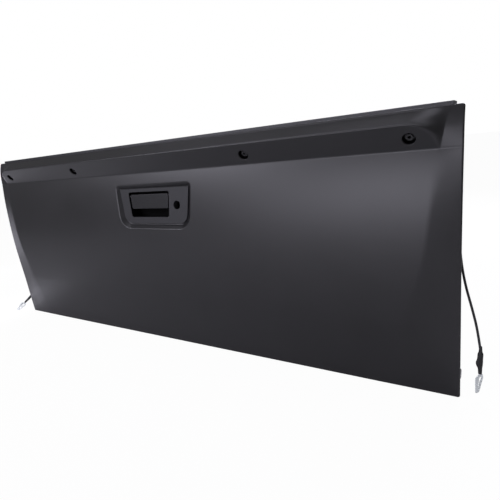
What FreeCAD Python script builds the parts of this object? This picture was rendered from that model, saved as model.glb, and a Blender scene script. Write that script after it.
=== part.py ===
import FreeCAD, Part
import math
import os

# Pickup tailgate, standing on its bottom edge. X runs along the gate, the painted outer
# face looks towards -Y, the bed side towards +Y, and Z is up. The origin is the middle
# of the flat underside. All sizes are in millimetres.

# Overall sizes
gate_width = 1580.0
skin_height = 596.0
box_depth = 58.0
side_overhang = 19.0
top_upstand = 7.0

# Sheet thicknesses, a little heavier than the real stampings
skin_sheet = 3.0
panel_sheet = 2.5
hem_depth = 6.0
seat_gap = 0.2

# Outer face, as depths in front of the outer edge line
edge_y = -box_depth / 2
bed_y = box_depth / 2
field_peak = 30.8
field_peak_z = skin_height - 291.0
lower_crease_z = 157.0
lower_crease_depth = 24.0
band_foot_z = skin_height - 75.0
band_foot_depth = 12.0
ridge_z = skin_height - 27.0
ridge_depth = 42.0
lower_bulge = 2.2

# Slanting crease near each end: height, distance of the crease inside the end of the
# gate, and how far the end itself bows out in front of the edge line. The heights are
# those of a gate as tall as crease_gate_height and grow in step with the skin.
crease_gate_height = 596.0
end_crease = [
    (0.0, 90.0, 0.0),
    (80.0, 90.0, 4.5),
    (157.0, 94.0, 8.7),
    (209.0, 89.5, 12.7),
    (268.0, 75.5, 16.5),
    (328.0, 64.5, 18.3),
    (388.0, 57.5, 18.4),
    (447.0, 49.5, 17.2),
    (485.0, 43.0, 15.0),
    (508.0, 40.0, 13.0),
    (521.0, 42.5, 11.5),
    (536.0, 46.0, 10.2),
    (548.0, 50.5, 9.0),
    (560.0, 65.5, 7.2),
    (568.0, 92.0, 6.0),
    (582.0, 92.0, 3.4),
    (596.0, 92.0, -0.8),
]
corner_radius = 9.0

# Stamped pocket for the handle, and the trim, housing and paddle in it
pocket_z = skin_height - 171.0
pocket_depth = 11.5
pocket_tilt = 4.5
pocket_top_width = 298.0
pocket_bottom_width = 268.0
pocket_height = 130.0
pocket_wall_run = 1.05
pocket_top_radius = 14.0
pocket_bottom_radius = 44.0
bezel_edge_gap = 2.5
bezel_thickness = 4.0
bezel_wall = 1.8
window_x = -18.0
window_z = 5.0
window_width = 162.0
window_height = 73.0
window_radius = 7.0
window_slant = 7.0
housing_wall = 2.5
housing_depth = 36.0
housing_flange = 5.5
housing_flange_thickness = 1.8
paddle_gap = 5.0
paddle_top_gap = 7.0
paddle_height = 42.0
paddle_thickness = 4.0
paddle_recess = 1.0
paddle_lip = 9.0
pin_radius = 2.5
pin_drop = 12.0
pin_depth = 3.0
pin_clearance = 0.06
boss_radius = 4.5
boss_length = 12.0
lock_x = 88.0
lock_z = 1.5
lock_radius = 12.0
lock_wall = 2.5
lock_length = 16.0

# Four fixing points for a moulding along the band under the top edge
fixing_x = [share * gate_width / 2 for share in (-0.8835, -0.4114, 0.4114, 0.8835)]
fixing_z = skin_height - 54.0
fixing_hole_radius = 12.5
cup_wall = 1.5
cup_depth = 12.0
cup_flange_radius = 17.0
nut_flange_radius = 9.5
nut_flange_thickness = 2.5
nut_across = 13.0
nut_height = 7.0
nut_thread_radius = 3.3

# Bed side: rounded pan with long ribs, and a cover over the service opening
pan_back_radius = 10.0
pan_foot_radius = 5.0
groove_width = 30.0
groove_depth = 5.0
groove_draft = 5.0
low_groove_z = [share * skin_height for share in (0.111, 0.205, 0.299, 0.393)]
high_groove_z = [share * skin_height for share in (0.554, 0.648, 0.742, 0.836)]
groove_end_x = gate_width / 2 - 90.0
high_groove_start_x = 0.418 * gate_width / 2
opening_width = 0.329 * gate_width
opening_height = 0.302 * skin_height
opening_z = 0.688 * skin_height
opening_radius = 22.0
cover_lap = 28.0
cover_sheet = 2.0
cover_pad_height = 6.0
cover_pad_margin = 46.0
cover_screw_radius = 3.0
cover_screw_columns = 4
screw_head_across = 10.0
screw_head_height = 4.5
screw_washer_radius = 8.5
screw_washer_thickness = 1.5
screw_length = 12.0
screw_clearance = 0.3

# Stiffening channels inside the box
channel_sheet = 2.5
side_channel_leg = 34.0
side_channel_margin = 16.0
top_channel_leg = 24.0
top_channel_half_length = gate_width / 2 - 90.0
top_channel_depth = 40.0
channel_bend = 3.5

# Side latches
latch_z = skin_height - 116.0
latch_height = 84.0
latch_thickness = 24.0
latch_depth = 46.0
striker_slot = 15.0
striker_slot_depth = 31.0
fork_radius = 20.0
fork_thickness = 5.0
fork_gap = 0.3
fork_pivot_radius = 4.0

# Hinge pivots at the lower corners
hinge_z = 38.0
hinge_y = 6.0
hinge_plate_width = 46.0
hinge_plate_height = 60.0
hinge_plate_thickness = 4.0
hinge_pin_radius = 11.0
hinge_pin_length = 13.0
hinge_bolt_radius = 4.0
hinge_bolt_spacing = 42.0
bolt_head_radius = 7.0
bolt_head_height = 4.0

# Bump stops on the side walls
bump_z = skin_height - 40.0
bump_radius = 9.0
bump_height = 7.0

# Support cables: a stud high on each side wall, an eye, the cable, a boot and a keyhole end
stud_y = 4.0
stud_z = skin_height - 164.0
stud_radius = 5.0
stud_head_radius = 9.0
stud_head_thickness = 3.5
eye_offset = 8.5
eye_thickness = 2.6
eye_radius = 11.0
eye_clearance = 0.3
eye_barrel_radius = 4.2
eye_barrel_length = 17.0
cable_radius = 2.5
boot_radius = 5.6
boot_length = 52.0
end_plate_width = 22.0
end_plate_length = 38.0
end_plate_thickness = 2.5
key_radius = 6.5
key_slot = 7.0
end_barrel_radius = 3.8

# Routes of the two cables, from the eye down to the boot. X counts outwards from the
# side wall, and the heights are those that go with a stud at route_stud_height.
route_stud_height = 432.0
right_route = [
    (8.5, 4.0, 404.0),
    (9.2, 3.2, 352.0),
    (12.5, 0.5, 300.0),
    (22.0, -5.0, 247.0),
    (36.5, -9.5, 196.0),
    (47.5, -12.0, 151.0),
    (53.5, -13.2, 108.0),
]
left_route = [
    (8.5, 4.0, 404.0),
    (9.8, 6.5, 352.0),
    (9.3, 9.5, 300.0),
    (7.4, 12.2, 250.0),
    (5.6, 12.6, 202.0),
    (4.9, 9.5, 158.0),
    (5.2, 2.3, 119.5),
    (10.2, -7.7, 91.0),
    (21.5, -18.5, 69.0),
]
right_boot_direction = (0.005, -0.012, -1.0)
left_boot_direction = (-0.6, -0.49, -0.632)

# Values that follow from the sizes above
half_width = gate_width / 2
pan_half = half_width - side_overhang
pan_top = skin_height + top_upstand
field_curve_up = (field_peak - band_foot_depth) / (band_foot_z - field_peak_z) ** 2
field_curve_down = (field_peak - lower_crease_depth) / (field_peak_z - lower_crease_z) ** 2
floor_y = edge_y - (field_peak - field_curve_up * (pocket_z - field_peak_z) ** 2) + pocket_depth
pan_front_y = edge_y + hem_depth + seat_gap


def box(x0, x1, y0, y1, z0, z1):
    return Part.makeBox(x1 - x0, y1 - y0, z1 - z0, FreeCAD.Vector(x0, y0, z0))


def rod(start, direction, radius, length):
    return Part.makeCylinder(radius, length, FreeCAD.Vector(*start), FreeCAD.Vector(*direction))


def mirrored(shape):
    return shape.mirror(FreeCAD.Vector(0, 0, 0), FreeCAD.Vector(1, 0, 0))


def moved(shape, x, y, z):
    copy = shape.copy()
    copy.translate(FreeCAD.Vector(x, y, z))
    return copy


def fused(shapes):
    result = shapes[0].multiFuse(shapes[1:])
    return result.removeSplitter()


# Upright outline in the plane y with a radius at each corner, as a wire.
# Corners are (x, z) pairs in order around the outline.
def rounded_outline(corners, radii, y):
    count = len(corners)
    starts = []
    ends = []
    mids = []
    for i in range(count):
        corner = FreeCAD.Vector(corners[i][0], y, corners[i][1])
        before = FreeCAD.Vector(corners[i - 1][0], y, corners[i - 1][1])
        after = FreeCAD.Vector(corners[(i + 1) % count][0], y, corners[(i + 1) % count][1])
        back = (before - corner).normalize()
        ahead = (after - corner).normalize()
        half = back.getAngle(ahead) / 2
        reach = radii[i] / math.tan(half)
        starts.append(corner + back * reach)
        ends.append(corner + ahead * reach)
        bisector = (back + ahead).normalize()
        mids.append(corner + bisector * (radii[i] / math.sin(half) - radii[i]))
    edges = []
    for i in range(count):
        edges.append(Part.Arc(starts[i], mids[i], ends[i]).toShape())
        edges.append(Part.LineSegment(ends[i], starts[(i + 1) % count]).toShape())
    return Part.Wire(edges)


def rectangle_outline(width, height, radius, y, x=0.0, z=0.0):
    corners = [
        (x - width / 2, z - height / 2),
        (x + width / 2, z - height / 2),
        (x + width / 2, z + height / 2),
        (x - width / 2, z + height / 2),
    ]
    return rounded_outline(corners, [radius] * 4, y)


def plate_from(wire, thickness):
    return Part.Face(wire).extrude(FreeCAD.Vector(0, thickness, 0))


# Depth of the outer face in front of the edge line at height z, at mid width
def face_depth(z):
    if z <= lower_crease_z:
        return lower_crease_depth * z / lower_crease_z
    if z <= band_foot_z:
        curve = field_curve_up if z > field_peak_z else field_curve_down
        return field_peak - curve * (z - field_peak_z) ** 2
    if z <= ridge_z:
        share = (z - band_foot_z) / (ridge_z - band_foot_z)
        return band_foot_depth + share * (ridge_depth - band_foot_depth)
    return ridge_depth * (skin_height - z) / (skin_height - ridge_z)


# One cross-section of the outer form: kick, field, band, sloping top and square back.
# The crease above the kick is full at both ends and fades out towards the middle.
def face_section(x, crease_share):
    def point(z, extra=0.0):
        return FreeCAD.Vector(x, edge_y - face_depth(z) - extra, z)

    kick = Part.BSplineCurve()
    bulge = lower_bulge * (1 - crease_share)
    kick.interpolate([point(0), point(lower_crease_z / 2, bulge), point(lower_crease_z)])
    field = Part.BSplineCurve()
    steps = 5
    rise = (band_foot_z - lower_crease_z) / steps
    field.interpolate([point(lower_crease_z + i * rise) for i in range(steps + 1)])
    back = edge_y + box_depth + 20
    corners = [
        point(band_foot_z),
        point(ridge_z),
        point(skin_height),
        FreeCAD.Vector(x, back, skin_height),
        FreeCAD.Vector(x, back, 0),
        point(0),
    ]
    edges = [kick.toShape(), field.toShape()]
    for i in range(len(corners) - 1):
        edges.append(Part.LineSegment(corners[i], corners[i + 1]).toShape())
    return Part.Wire(edges)


# Everything in front of the slanting end strip, to be cut from the right end
def end_cutter():
    wires = []
    for table_z, inside, bow in end_crease:
        z = table_z * skin_height / crease_gate_height
        crease_x = half_width - inside
        crease_y = edge_y - face_depth(z)
        if z >= skin_height:
            crease_y = edge_y - 1.6
        end_y = edge_y - bow
        slope = (end_y - crease_y) / inside
        corners = [
            FreeCAD.Vector(half_width + 30, end_y + slope * 30, z),
            FreeCAD.Vector(crease_x, crease_y, z),
            FreeCAD.Vector(crease_x - 40, crease_y - 34, z),
            FreeCAD.Vector(crease_x - 40, edge_y - 160, z),
            FreeCAD.Vector(half_width + 30, edge_y - 160, z),
        ]
        wires.append(Part.makePolygon(corners + [corners[0]]))
    return Part.makeLoft(wires, True, False)


# Solid whose front is the outer face of the gate, without the handle pocket
def outer_form():
    reach = half_width + 20
    stations = [(-1.0, 1.0), (-0.66, 0.9), (-0.33, 0.3), (0.0, 0.0), (0.33, 0.3), (0.66, 0.9), (1.0, 1.0)]
    form = Part.makeLoft([face_section(share * reach, crease) for share, crease in stations], True, False)
    cutter = end_cutter()
    form = form.cut(cutter).cut(mirrored(cutter))
    return form


def in_form_limits(form, shift, inset):
    half = half_width - inset
    block = box(-half, half, edge_y - 200, edge_y + 200, inset, skin_height - inset)
    corners = [e for e in block.Edges if abs(e.Length - 400) < 1]
    block = block.makeFillet(corner_radius - inset, corners)
    return moved(form, 0, shift, 0).common(block)


# Places a shape made about the middle of the pocket floor. There, x is along the gate,
# y = 0 is the floor with the inside of the gate at +y, and z is up the floor.
def in_pocket(shape):
    placed = shape.copy()
    placed.rotate(FreeCAD.Vector(0, 0, 0), FreeCAD.Vector(1, 0, 0), -pocket_tilt)
    placed.translate(FreeCAD.Vector(0, floor_y, pocket_z))
    return placed


# Outline of the pocket at a level y, grown outwards by spread
def pocket_outline(y, spread):
    rim_run = pocket_depth * pocket_wall_run
    grow = spread - rim_run
    top = pocket_top_width / 2 + grow
    bottom = pocket_bottom_width / 2 + grow
    half = pocket_height / 2 + grow
    corners = [(-bottom, -half), (bottom, -half), (top, half), (-top, half)]
    low = max(pocket_bottom_radius + grow, 1.5)
    high = max(pocket_top_radius + grow, 1.5)
    return rounded_outline(corners, [low, low, high, high], y)


def pocket_cutter(shift):
    reach = 34.0
    floor = pocket_outline(shift, 0.0)
    mouth = pocket_outline(shift - reach, reach * pocket_wall_run)
    return in_pocket(Part.makeLoft([floor, mouth], True, True))


# Side of the handle window at height z, grown outwards: side is 1 on the right and -1 on
# the left. Both sides lean in towards the bottom.
def window_side(side, z, grow):
    lean = window_slant / window_height
    half = window_width / 2 - lean * (window_z + window_height / 2 - z)
    return window_x + side * (half + grow * math.sqrt(1 + lean ** 2))


def window_shape(y, grow, bottom, top, radius):
    corners = []
    for side, z in ((-1, bottom), (1, bottom), (1, top), (-1, top)):
        corners.append((window_side(side, z, grow), z))
    return rounded_outline(corners, [radius] * 4, y)


def window_outline(y, grow):
    bottom = window_z - window_height / 2 - grow
    top = window_z + window_height / 2 + grow
    return window_shape(y, grow, bottom, top, window_radius + grow)


def fixing_frame():
    angle = math.atan2(ridge_depth - band_foot_depth, ridge_z - band_foot_z)
    return (0.0, math.cos(angle), math.sin(angle))


def fixing_point(x, inward):
    direction = fixing_frame()
    y = edge_y - face_depth(fixing_z)
    return (x, y + direction[1] * inward, fixing_z + direction[2] * inward)


def make_outer_skin(form):
    front = in_form_limits(form, 0.0, 0.0).cut(pocket_cutter(0.0))
    inside = in_form_limits(form, skin_sheet, skin_sheet).cut(pocket_cutter(skin_sheet))
    around_pocket = box(-200, 200, -200, 200, pocket_z - 100, pocket_z + 90)
    behind_hem = moved(form, 0, hem_depth, 0).cut(around_pocket)
    skin = front.cut(inside).cut(behind_hem)
    hole = plate_from(window_outline(-1, housing_wall + 0.5), skin_sheet + 4)
    skin = skin.cut(in_pocket(hole))
    tube = rod((lock_x, -5, lock_z), (0, 1, 0), lock_radius + lock_wall + 0.5, 20)
    skin = skin.cut(in_pocket(tube))
    for x in fixing_x:
        skin = skin.cut(rod(fixing_point(x, -8), fixing_frame(), fixing_hole_radius, 20))
    return skin


# Long stamped groove with rounded ends and sloping walls, opening towards +y
def groove(x0, x1, z, level, sheet):
    mouth = groove_width / 2 + sheet
    floor = mouth - groove_draft
    first = x0 - sheet + mouth
    last = x1 + sheet - mouth
    inwards = FreeCAD.Vector(0, -1, 0)
    corners = [
        FreeCAD.Vector(first, level, z - mouth),
        FreeCAD.Vector(first, level, z + mouth),
        FreeCAD.Vector(first, level - groove_depth, z + floor),
        FreeCAD.Vector(first, level - groove_depth, z - floor),
    ]
    middle = Part.Face(Part.makePolygon(corners + [corners[0]])).extrude(FreeCAD.Vector(last - first, 0, 0))
    pieces = [middle]
    for x in (first, last):
        pieces.append(Part.makeCone(mouth, floor, groove_depth, FreeCAD.Vector(x, level, z), inwards))
    return fused(pieces)


def grooves(level, sheet):
    cuts = []
    for z in low_groove_z:
        cuts.append(groove(-groove_end_x, groove_end_x, z, level, sheet))
    for z in high_groove_z:
        cuts.append(groove(high_groove_start_x, groove_end_x, z, level, sheet))
        cuts.append(groove(-groove_end_x, -high_groove_start_x, z, level, sheet))
    return cuts


def striker_notch(margin):
    x0 = pan_half - latch_thickness - 4
    half = striker_slot / 2 + margin
    y0 = bed_y - striker_slot_depth - margin
    return box(x0, pan_half + 5, y0, bed_y + 5, latch_z - half, latch_z + half)


def cover_screw_places():
    x_reach = opening_width / 2 + cover_lap / 2
    z_reach = opening_height / 2 + cover_lap / 2
    places = []
    for i in range(cover_screw_columns):
        x = -x_reach + 2 * x_reach * i / (cover_screw_columns - 1)
        places.append((x, opening_z - z_reach))
        places.append((x, opening_z + z_reach))
    return places


def latch_screw_places():
    return [(-12.0, latch_z - 30), (12.0, latch_z - 30), (-12.0, latch_z + 30)]


def hinge_bolt_places():
    return [(hinge_y, hinge_z - hinge_bolt_spacing / 2), (hinge_y, hinge_z + hinge_bolt_spacing / 2)]


def side_holes(margin):
    x = pan_half - 20
    holes = [rod((x, stud_y, stud_z), (1, 0, 0), stud_radius + margin, 30)]
    for y, z in latch_screw_places():
        holes.append(rod((x, y, z), (1, 0, 0), cover_screw_radius + margin, 30))
    for y, z in hinge_bolt_places():
        holes.append(rod((x, y, z), (1, 0, 0), hinge_bolt_radius + margin, 30))
    return holes


def make_inner_panel(form):
    outer = box(-pan_half, pan_half, edge_y - 120, bed_y, 0, pan_top)
    back_edges = []
    for edge in outer.Edges:
        at_back = all(abs(v.Y - bed_y) < 1e-6 for v in edge.Vertexes)
        at_foot = all(abs(v.Z) < 1e-6 for v in edge.Vertexes)
        if at_back and not at_foot:
            back_edges.append(edge)
    outer = outer.makeFillet(pan_back_radius, back_edges)
    inner = box(
        -pan_half + panel_sheet, pan_half - panel_sheet, edge_y - 130, bed_y - panel_sheet,
        panel_sheet, pan_top - panel_sheet,
    )
    inner_edges = []
    for edge in inner.Edges:
        at_back = all(abs(v.Y - bed_y + panel_sheet) < 1e-6 for v in edge.Vertexes)
        at_foot = all(abs(v.Z - panel_sheet) < 1e-6 for v in edge.Vertexes)
        if at_back and not at_foot:
            inner_edges.append(edge)
    inner = inner.makeFillet(pan_back_radius - panel_sheet, inner_edges)
    for cut in grooves(bed_y, 0.0):
        outer = outer.cut(cut)
    for cut in grooves(bed_y - panel_sheet, panel_sheet * 0.8):
        inner = inner.cut(cut)
    behind_hem = moved(form, 0, hem_depth + seat_gap, 0)
    above = box(-pan_half - 5, pan_half + 5, pan_front_y + 1, bed_y + 5, skin_height - 1, pan_top + 5)
    pan = outer.cut(inner)
    pan = fused([pan.common(behind_hem), pan.common(above)])
    flange_back = moved(form, 0, hem_depth + seat_gap + panel_sheet, 0)
    flange_end = half_width - 1.5
    flange_sheet = behind_hem.cut(flange_back)
    right = box(pan_half - panel_sheet, flange_end, -200, 200, 4, skin_height - 6)
    pan = fused([pan, flange_sheet.common(right), flange_sheet.common(mirrored(right))])
    opening = rectangle_outline(opening_width, opening_height, opening_radius, 0, 0, opening_z)
    pan = pan.cut(plate_from(opening, bed_y + 5))
    for x, z in cover_screw_places():
        pan = pan.cut(rod((x, 0, z), (0, 1, 0), cover_screw_radius + screw_clearance, 60))
    for cut in side_holes(screw_clearance) + [striker_notch(0.0)]:
        pan = pan.cut(cut).cut(mirrored(cut))
    return pan


def make_access_cover():
    width = opening_width + 2 * cover_lap
    height = opening_height + 2 * cover_lap
    start = bed_y + seat_gap
    plate = plate_from(rectangle_outline(width, height, opening_radius, start, 0, opening_z), cover_sheet)
    pad_width = width - 2 * cover_pad_margin
    pad_height = height - 2 * cover_pad_margin
    face = start + cover_sheet
    low = rectangle_outline(pad_width, pad_height, 18, face - 0.5, 0, opening_z)
    high = rectangle_outline(pad_width - 14, pad_height - 14, 12, face + cover_pad_height, 0, opening_z)
    under_low = rectangle_outline(pad_width - 3, pad_height - 3, 17, start - 0.5, 0, opening_z)
    under_high = rectangle_outline(
        pad_width - 18, pad_height - 18, 10, start + cover_pad_height, 0, opening_z
    )
    cover = plate.fuse(Part.makeLoft([low, high], True, True))
    cover = cover.cut(Part.makeLoft([under_low, under_high], True, True))
    for x, z in cover_screw_places():
        cover = cover.cut(rod((x, start - 1, z), (0, 1, 0), cover_screw_radius + screw_clearance, 10))
    return cover.removeSplitter()


# Flange-head screw pointing along -x of its own place, head against the plane at start
def flange_screw(start, outward, shank_radius, length):
    head_corner = screw_head_across / math.sqrt(3)
    out = FreeCAD.Vector(*outward)
    base = FreeCAD.Vector(*start)
    side = FreeCAD.Vector(0, 0, 1)
    third = out.cross(side)
    corners = []
    for i in range(7):
        angle = math.pi / 3 * i
        around = side * math.cos(angle) + third * math.sin(angle)
        corners.append(base + out * screw_washer_thickness + around * head_corner)
    head = Part.Face(Part.makePolygon(corners)).extrude(out * screw_head_height)
    washer = Part.makeCylinder(screw_washer_radius, screw_washer_thickness, base, out)
    shank = Part.makeCylinder(shank_radius, length, base - out * length, out)
    return fused([shank, washer, head])


def make_cover_screws():
    start = bed_y + seat_gap + cover_sheet + 0.05
    screws = []
    for x, z in cover_screw_places():
        screws.append(flange_screw((x, start, z), (0, 1, 0), cover_screw_radius, screw_length))
    return Part.makeCompound(screws)


# Channel along the inside of the right side wall, open towards the middle of the gate
def make_side_channel():
    x1 = pan_half - panel_sheet - seat_gap
    x0 = x1 - side_channel_leg
    y0 = pan_front_y + 4
    y1 = bed_y - panel_sheet - groove_depth - seat_gap
    z0 = side_channel_margin
    z1 = pan_top - panel_sheet - top_channel_leg - side_channel_margin
    outer = box(x0, x1, y0, y1, z0, z1)
    bends = [e for e in outer.Edges if abs(e.Length - z1 + z0) < 1e-6 and abs(e.Vertexes[0].X - x1) < 1e-6]
    outer = outer.makeFillet(channel_bend, bends)
    inner = box(x0 - 1, x1 - channel_sheet, y0 + channel_sheet, y1 - channel_sheet, z0 - 1, z1 + 1)
    channel = outer.cut(inner)
    room = latch_height / 2 + 2
    latch_room = box(x0 - 5, x1 - channel_sheet, -100, 100, latch_z - room, latch_z + room)
    channel = channel.cut(latch_room)
    for cut in side_holes(screw_clearance) + [striker_notch(0.0)]:
        channel = channel.cut(cut)
    return channel


# Hat-shaped channel under the top wall
def make_top_channel():
    z1 = pan_top - panel_sheet - seat_gap
    z0 = z1 - top_channel_leg
    y1 = bed_y - panel_sheet - groove_depth - seat_gap
    y0 = y1 - top_channel_depth
    length = 2 * top_channel_half_length
    outer = box(-length / 2, length / 2, y0, y1, z0, z1)
    bends = [e for e in outer.Edges if abs(e.Length - length) < 1e-6 and abs(e.Vertexes[0].Z - z1) < 1e-6]
    outer = outer.makeFillet(channel_bend, bends)
    inner = box(
        -length / 2 - 1, length / 2 + 1, y0 + channel_sheet, y1 - channel_sheet, z0 - 1, z1 - channel_sheet
    )
    return outer.cut(inner)


def latch_box():
    x1 = pan_half - panel_sheet - channel_sheet - 2 * seat_gap
    x0 = x1 - latch_thickness
    y1 = bed_y - panel_sheet - groove_depth - seat_gap
    y0 = y1 - latch_depth
    return x0, x1, y0, y1


# Latch body on the right: a closed case with a slot for the striker and room for the fork
def make_latch():
    x0, x1, y0, y1 = latch_box()
    z0 = latch_z - latch_height / 2
    z1 = latch_z + latch_height / 2
    body = box(x0, x1, y0, y1, z0, z1)
    upright = [e for e in body.Edges if abs(e.Length - latch_thickness) < 1e-6]
    body = body.makeFillet(6.0, upright)
    middle = (x0 + x1) / 2
    room = fork_thickness / 2 + fork_gap
    reach = fork_radius + 1.5
    pivot_y, pivot_z = fork_pivot()
    body = body.cut(rod((middle - room, pivot_y, pivot_z), (1, 0, 0), reach, 2 * room))
    body = body.cut(striker_notch(0.0))
    for y, z in latch_screw_places():
        body = body.cut(rod((x0 + 4, y, z), (1, 0, 0), cover_screw_radius + 0.1, 40))
    pivot = rod((middle - room - 2, pivot_y, pivot_z), (1, 0, 0), fork_pivot_radius, 2 * room + 4)
    return fused([body, pivot])


def fork_pivot():
    x0, x1, y0, y1 = latch_box()
    return y0 + fork_radius + 3.0, latch_z - striker_slot / 2 - fork_pivot_radius - 4.5


# Forked rotor that holds the striker, lying open in the latch
def make_latch_fork():
    x0, x1, y0, y1 = latch_box()
    middle = (x0 + x1) / 2
    pivot_y, pivot_z = fork_pivot()
    start = middle - fork_thickness / 2
    fork = rod((start, pivot_y, pivot_z), (1, 0, 0), fork_radius, fork_thickness)
    bore = rod((start - 1, pivot_y, pivot_z), (1, 0, 0), fork_pivot_radius + 0.1, fork_thickness + 2)
    fork = fork.cut(bore)
    half = striker_slot / 2
    mouth_y = bed_y - striker_slot_depth
    slot = box(start - 1, start + fork_thickness + 1, mouth_y, bed_y + 50, latch_z - half, latch_z + half)
    return fork.cut(slot)


def make_latch_screws():
    start = pan_half + 0.05
    screws = []
    for y, z in latch_screw_places():
        screws.append(flange_screw((start, y, z), (1, 0, 0), cover_screw_radius, screw_length))
    return Part.makeCompound(screws)


# Hinge pivot on the right: a bolted plate with a short round pin
def make_hinge_pivot():
    start = pan_half + 0.05
    width = hinge_plate_width
    height = hinge_plate_height
    plate = box(
        start, start + hinge_plate_thickness, hinge_y - width / 2, hinge_y + width / 2,
        hinge_z - height / 2, hinge_z + height / 2,
    )
    plate = plate.makeFillet(8.0, [e for e in plate.Edges if abs(e.Length - hinge_plate_thickness) < 1e-6])
    reach = hinge_plate_thickness + hinge_pin_length
    pin = rod((start, hinge_y, hinge_z), (1, 0, 0), hinge_pin_radius, reach)
    tip = [e for e in pin.Edges if e.Vertexes[0].X > start + 5 and e.Closed]
    pin = pin.makeChamfer(1.5, tip)
    pivot = fused([plate, pin])
    for y, z in hinge_bolt_places():
        pivot = pivot.cut(rod((start - 1, y, z), (1, 0, 0), hinge_bolt_radius + screw_clearance, 20))
    return pivot


def make_hinge_bolts():
    start = pan_half + 0.1 + hinge_plate_thickness
    bolts = []
    for y, z in hinge_bolt_places():
        head = rod((start, y, z), (1, 0, 0), bolt_head_radius, bolt_head_height)
        crown = [e for e in head.Edges if e.Closed and e.Vertexes[0].X > start + 1]
        head = head.makeChamfer(1.5, crown)
        shank = rod((start - 16, y, z), (1, 0, 0), hinge_bolt_radius, 16)
        bolts.append(fused([head, shank]))
    return Part.makeCompound(bolts)


def make_bump_stop():
    start = pan_half + 0.1
    body = rod((start, hinge_y, bump_z), (1, 0, 0), bump_radius, bump_height)
    crown = [e for e in body.Edges if e.Closed and e.Vertexes[0].X > start + 1]
    return body.makeChamfer(2.0, crown)


# Trim plate that covers the pocket floor, with a rim turned back to the floor
def make_handle_bezel():
    outline = pocket_outline(-bezel_thickness - seat_gap, -bezel_edge_gap)
    plate = plate_from(outline, bezel_thickness)
    front = [e for e in plate.Edges if all(abs(v.Y + bezel_thickness + seat_gap) < 1e-6 for v in e.Vertexes)]
    plate = plate.makeFillet(1.2, front)
    inner_outline = pocket_outline(-bezel_thickness - seat_gap + bezel_wall, -bezel_edge_gap - bezel_wall)
    bezel = plate.cut(plate_from(inner_outline, bezel_thickness))
    tube_length = lock_length - seat_gap
    tube = rod((lock_x, -bezel_thickness, lock_z), (0, 1, 0), lock_radius + lock_wall, tube_length)
    bore = rod((lock_x, -20, lock_z), (0, 1, 0), lock_radius, 60)
    bezel = bezel.fuse(tube).cut(bore)
    opening = plate_from(window_outline(-20, 0.0), 40)
    return in_pocket(bezel.cut(opening).removeSplitter())


# Open-fronted housing behind the window, carried by a flange on the pocket floor
def make_handle_housing():
    front = -housing_flange_thickness - 0.05
    shell = plate_from(window_outline(front, housing_wall), housing_depth - front)
    flange = plate_from(window_outline(front, housing_flange), housing_flange_thickness)
    body = shell.fuse(flange)
    cavity = plate_from(window_outline(front - 1, 0.0), housing_depth - front + 1 - housing_wall)
    body = body.cut(cavity)
    pin = pin_place()
    hole = rod((window_x - window_width, pin[0], pin[1]), (1, 0, 0), pin_radius + 0.02, 2 * window_width)
    return in_pocket(body.cut(hole).removeSplitter())


# Pin axis as (y, z) in the pocket frame
def pin_place():
    return (pin_depth, window_z + window_height / 2 - pin_drop)


def make_handle_pin():
    y, z = pin_place()
    left = window_side(-1, z, housing_wall) + 0.5
    right = window_side(1, z, housing_wall) - 0.5
    return in_pocket(rod((left, y, z), (1, 0, 0), pin_radius, right - left))


# Pull handle: a slightly crowned blade with a finger lip, hung on two bosses
def make_pull_handle():
    y, z = pin_place()
    top = window_z + window_height / 2 - paddle_top_gap
    bottom = top - paddle_height
    front = -bezel_thickness + paddle_recess
    blade = plate_from(window_shape(front, -paddle_gap, bottom, top, 5.0), paddle_thickness)
    face_edges = [e for e in blade.Edges if all(abs(v.Y - front) < 1e-6 for v in e.Vertexes)]
    blade = blade.makeFillet(1.8, face_edges)
    lip = box(
        window_side(-1, bottom, -paddle_gap) + 6, window_side(1, bottom, -paddle_gap) - 6,
        front + 1, front + paddle_lip, bottom + 0.5, bottom + 5.0,
    )
    lip_edges = [e for e in lip.Edges if all(abs(v.Y - front - paddle_lip) < 1e-6 for v in e.Vertexes)]
    lip = lip.makeFillet(1.5, lip_edges)
    pieces = [blade, lip]
    boss_low = z - boss_radius
    left_boss = window_side(-1, boss_low, -paddle_gap) + 0.5
    right_boss = window_side(1, boss_low, -paddle_gap) - boss_length - 0.5
    for start in (left_boss, right_boss):
        pieces.append(rod((start, y, z), (1, 0, 0), boss_radius, boss_length))
    handle = fused(pieces)
    bore = rod((window_x - window_width, y, z), (1, 0, 0), pin_radius + pin_clearance, 2 * window_width)
    return in_pocket(handle.cut(bore))


def make_fixing_cups():
    back = skin_sheet * fixing_frame()[1] + 0.05
    cups = []
    for x in fixing_x:
        tube = rod(fixing_point(x, back), fixing_frame(), fixing_hole_radius + cup_wall, cup_depth)
        flange = rod(fixing_point(x, back), fixing_frame(), cup_flange_radius, cup_wall)
        room = rod(fixing_point(x, back - 1), fixing_frame(), fixing_hole_radius, cup_depth - cup_wall + 1)
        hole = rod(fixing_point(x, 0), fixing_frame(), nut_thread_radius + 0.4, 40)
        cups.append(fused([tube, flange]).cut(room).cut(hole))
    return Part.makeCompound(cups)


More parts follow.
